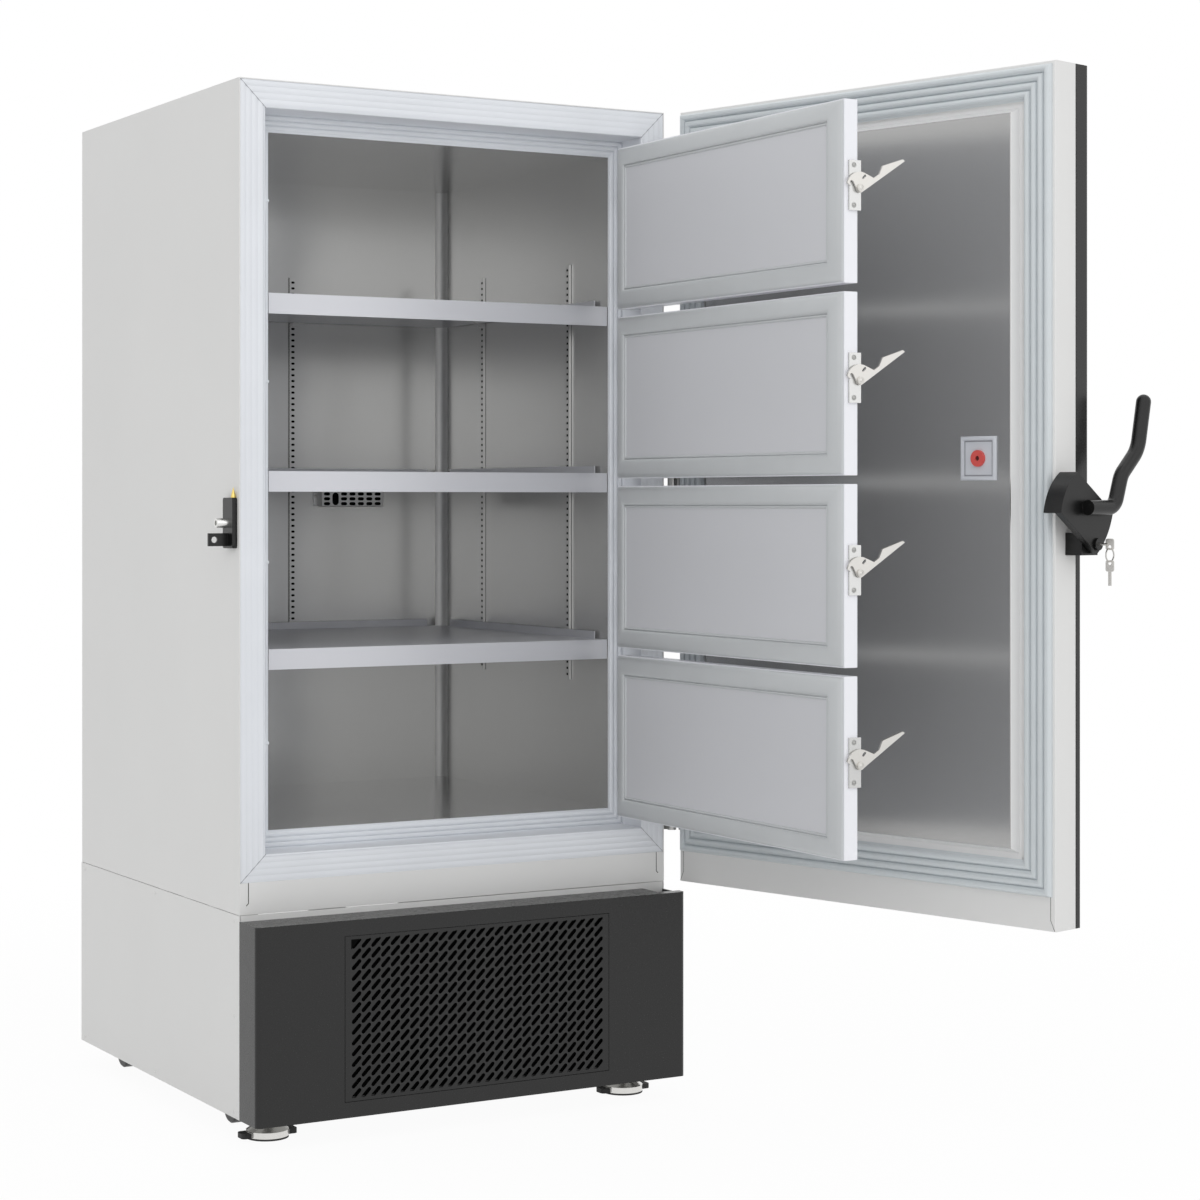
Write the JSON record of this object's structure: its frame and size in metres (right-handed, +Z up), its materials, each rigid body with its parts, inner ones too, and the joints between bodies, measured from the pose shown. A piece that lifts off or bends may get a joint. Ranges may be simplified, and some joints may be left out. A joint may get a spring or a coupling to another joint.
{
  "type": "ultra low temperature freezer",
  "caption": "Upright laboratory deep freezer with a swinging outer door, latched inner doors, shelves, lever handle, machine compartment with slotted grille, casters and levelling feet.",
  "frame": {"origin": "on the floor under the middle of the cabinet's footprint", "axes": "+Z up, -Y towards the front where the doors open, +X to the hinge side"},
  "size_m": [1.4337, 1.8485, 1.976],
  "materials": {
    "casing_paint": "satin powder coat",
    "breaker_plastic": "fluted extruded plastic",
    "stainless": "brushed",
    "insulation": "rigid foam, hidden",
    "black_moulding": "fine moulded grain",
    "black_steel": "satin black",
    "inner_panel": "smooth sheet",
    "door_gasket": "ribbed soft seal",
    "inner_gasket": "soft seal",
    "polished_steel": "polished",
    "plated_steel": "zinc plated",
    "display": "dark glass",
    "vent_white": "moulded",
    "vent_red": "soft plug",
    "aluminium_fins": "finned coil",
    "compressor_paint": "gloss black",
    "caster_rubber": "hard rubber",
    "filter_mesh": "open mesh"
  },
  "bodies": {
    "cabinet": {"upper_casing": "casing_paint", "breaker_frame": "breaker_plastic", "inner_liner": "stainless", "cabinet_foam": "insulation", "pilasters": "stainless", "shelves": "stainless", "sensor_cover": "stainless", "cabinet_hinges": "plated_steel", "striker_block": "black_steel", "striker_pin": "polished_steel", "inner_brackets": "stainless", "base_frame": "plated_steel", "side_panels": "casing_paint", "rear_panel": "casing_paint", "power_inlet": "black_moulding", "front_fascia": "black_moulding", "grille": "black_moulding", "air_filter": "filter_mesh", "condenser": "aluminium_fins", "compressors": "compressor_paint"},
    "outer_door": {"door_shell": "casing_paint", "door_liner": "stainless", "door_foam": "insulation", "door_gasket": "door_gasket", "door_cover": "black_moulding", "control_console": "black_moulding", "display_window": "display", "vent_port": "vent_white", "vent_plug": "vent_red", "door_hinges": "plated_steel", "handle_bracket": "black_steel"},
    "handle": {"handle_lever": "black_steel"},
    "key": {"lock_key": "polished_steel"},
    "fan": {"condenser_fan": "black_moulding"},
    "inner_1": {"inner_door_1": "inner_panel", "inner_gasket_1": "inner_gasket", "inner_fittings_1": "stainless"},
    "latch_1": {"latch_lever_1": "polished_steel"},
    "inner_2": {"inner_door_2": "inner_panel", "inner_gasket_2": "inner_gasket", "inner_fittings_2": "stainless"},
    "latch_2": {"latch_lever_2": "polished_steel"},
    "inner_3": {"inner_door_3": "inner_panel", "inner_gasket_3": "inner_gasket", "inner_fittings_3": "stainless"},
    "latch_3": {"latch_lever_3": "polished_steel"},
    "inner_4": {"inner_door_4": "inner_panel", "inner_gasket_4": "inner_gasket", "inner_fittings_4": "stainless"},
    "latch_4": {"latch_lever_4": "polished_steel"},
    "caster_front_left": {"caster_fork_front_left": "black_steel"},
    "wheel_front_left": {"caster_wheel_front_left": "caster_rubber"},
    "caster_front_right": {"caster_fork_front_right": "black_steel"},
    "wheel_front_right": {"caster_wheel_front_right": "caster_rubber"},
    "caster_rear_left": {"caster_fork_rear_left": "black_steel"},
    "wheel_rear_left": {"caster_wheel_rear_left": "caster_rubber"},
    "caster_rear_right": {"caster_fork_rear_right": "black_steel"},
    "wheel_rear_right": {"caster_wheel_rear_right": "caster_rubber"},
    "levelling_foot_left": {"foot_left": "polished_steel"},
    "levelling_foot_right": {"foot_right": "polished_steel"}
  },
  "joints": [
    {"name": "door_swing", "type": "hinge", "parent": "cabinet", "child": "outer_door", "pos_m": [0.476, -0.44, 1.235], "axis": [0, 0, 1], "range_deg": [-104.6, 10]},
    {"name": "inner_door_1_swing", "type": "hinge", "parent": "cabinet", "child": "inner_1", "pos_m": [0.4, -0.429, 1.7345], "axis": [0, 0, 1], "range_deg": [-90.05, 8.65]},
    {"name": "latch_1_turn", "type": "hinge", "parent": "inner_1", "child": "latch_1", "pos_m": [0.377, -1.227, 1.7395], "axis": [0, 1, 0], "range_deg": [-11.55, 120.05]},
    {"name": "inner_door_2_swing", "type": "hinge", "parent": "cabinet", "child": "inner_2", "pos_m": [0.4, -0.429, 1.3975], "axis": [0, 0, 1], "range_deg": [-90.05, 8.65]},
    {"name": "latch_2_turn", "type": "hinge", "parent": "inner_2", "child": "latch_2", "pos_m": [0.377, -1.227, 1.4025], "axis": [0, 1, 0], "range_deg": [-11.55, 120.05]},
    {"name": "inner_door_3_swing", "type": "hinge", "parent": "cabinet", "child": "inner_3", "pos_m": [0.4, -0.429, 1.0605], "axis": [0, 0, 1], "range_deg": [-90.05, 8.65]},
    {"name": "latch_3_turn", "type": "hinge", "parent": "inner_3", "child": "latch_3", "pos_m": [0.377, -1.227, 1.0655], "axis": [0, 1, 0], "range_deg": [-11.55, 120.05]},
    {"name": "inner_door_4_swing", "type": "hinge", "parent": "cabinet", "child": "inner_4", "pos_m": [0.4, -0.429, 0.7235], "axis": [0, 0, 1], "range_deg": [-90.05, 8.65]},
    {"name": "latch_4_turn", "type": "hinge", "parent": "inner_4", "child": "latch_4", "pos_m": [0.377, -1.227, 0.7285], "axis": [0, 1, 0], "range_deg": [-11.55, 120.05]},
    {"name": "handle_turn", "type": "hinge", "parent": "outer_door", "child": "handle", "pos_m": [0.78471, -1.37125, 1.115], "axis": [0.2521, -0.9677, 0], "range_deg": [0, 14]},
    {"name": "key_turn", "type": "hinge", "parent": "outer_door", "child": "key", "pos_m": [0.78647, -1.37803, 1.115], "axis": [0.2521, -0.9677, 0], "range_deg": [0, 90]},
    {"name": "fan_spin", "type": "hinge", "parent": "cabinet", "child": "fan", "pos_m": [0, -0.347, 0.2555], "axis": [0, 1, 0], "continuous": true},
    {"name": "caster_front_left_swivel", "type": "hinge", "parent": "cabinet", "child": "caster_front_left", "pos_m": [-0.394, -0.273, 0.09], "axis": [0, 0, 1], "continuous": true},
    {"name": "wheel_front_left_roll", "type": "hinge", "parent": "caster_front_left", "child": "wheel_front_left", "pos_m": [-0.394, -0.255, 0.032], "axis": [1, 0, 0], "continuous": true},
    {"name": "caster_front_right_swivel", "type": "hinge", "parent": "cabinet", "child": "caster_front_right", "pos_m": [0.394, -0.273, 0.09], "axis": [0, 0, 1], "continuous": true},
    {"name": "wheel_front_right_roll", "type": "hinge", "parent": "caster_front_right", "child": "wheel_front_right", "pos_m": [0.394, -0.255, 0.032], "axis": [1, 0, 0], "continuous": true},
    {"name": "caster_rear_left_swivel", "type": "hinge", "parent": "cabinet", "child": "caster_rear_left", "pos_m": [-0.394, 0.317, 0.09], "axis": [0, 0, 1], "continuous": true},
    {"name": "wheel_rear_left_roll", "type": "hinge", "parent": "caster_rear_left", "child": "wheel_rear_left", "pos_m": [-0.394, 0.335, 0.032], "axis": [1, 0, 0], "continuous": true},
    {"name": "caster_rear_right_swivel", "type": "hinge", "parent": "cabinet", "child": "caster_rear_right", "pos_m": [0.394, 0.317, 0.09], "axis": [0, 0, 1], "continuous": true},
    {"name": "wheel_rear_right_roll", "type": "hinge", "parent": "caster_rear_right", "child": "wheel_rear_right", "pos_m": [0.394, 0.335, 0.032], "axis": [1, 0, 0], "continuous": true},
    {"name": "foot_left_turn", "type": "hinge", "parent": "cabinet", "child": "levelling_foot_left", "pos_m": [-0.387, -0.395, 0.06], "axis": [0, 0, 1], "continuous": true},
    {"name": "foot_right_turn", "type": "hinge", "parent": "cabinet", "child": "levelling_foot_right", "pos_m": [0.387, -0.395, 0.06], "axis": [0, 0, 1], "continuous": true}
  ],
  "couplings": [
    {"joint": "inner_door_1_swing", "follows": "door_swing", "ratio": 0.86042},
    {"joint": "latch_1_turn", "follows": "door_swing", "ratio": -1.1472},
    {"joint": "inner_door_2_swing", "follows": "door_swing", "ratio": 0.86042},
    {"joint": "latch_2_turn", "follows": "door_swing", "ratio": -1.1472},
    {"joint": "inner_door_3_swing", "follows": "door_swing", "ratio": 0.86042},
    {"joint": "latch_3_turn", "follows": "door_swing", "ratio": -1.1472},
    {"joint": "inner_door_4_swing", "follows": "door_swing", "ratio": 0.86042},
    {"joint": "latch_4_turn", "follows": "door_swing", "ratio": -1.1472}
  ]
}
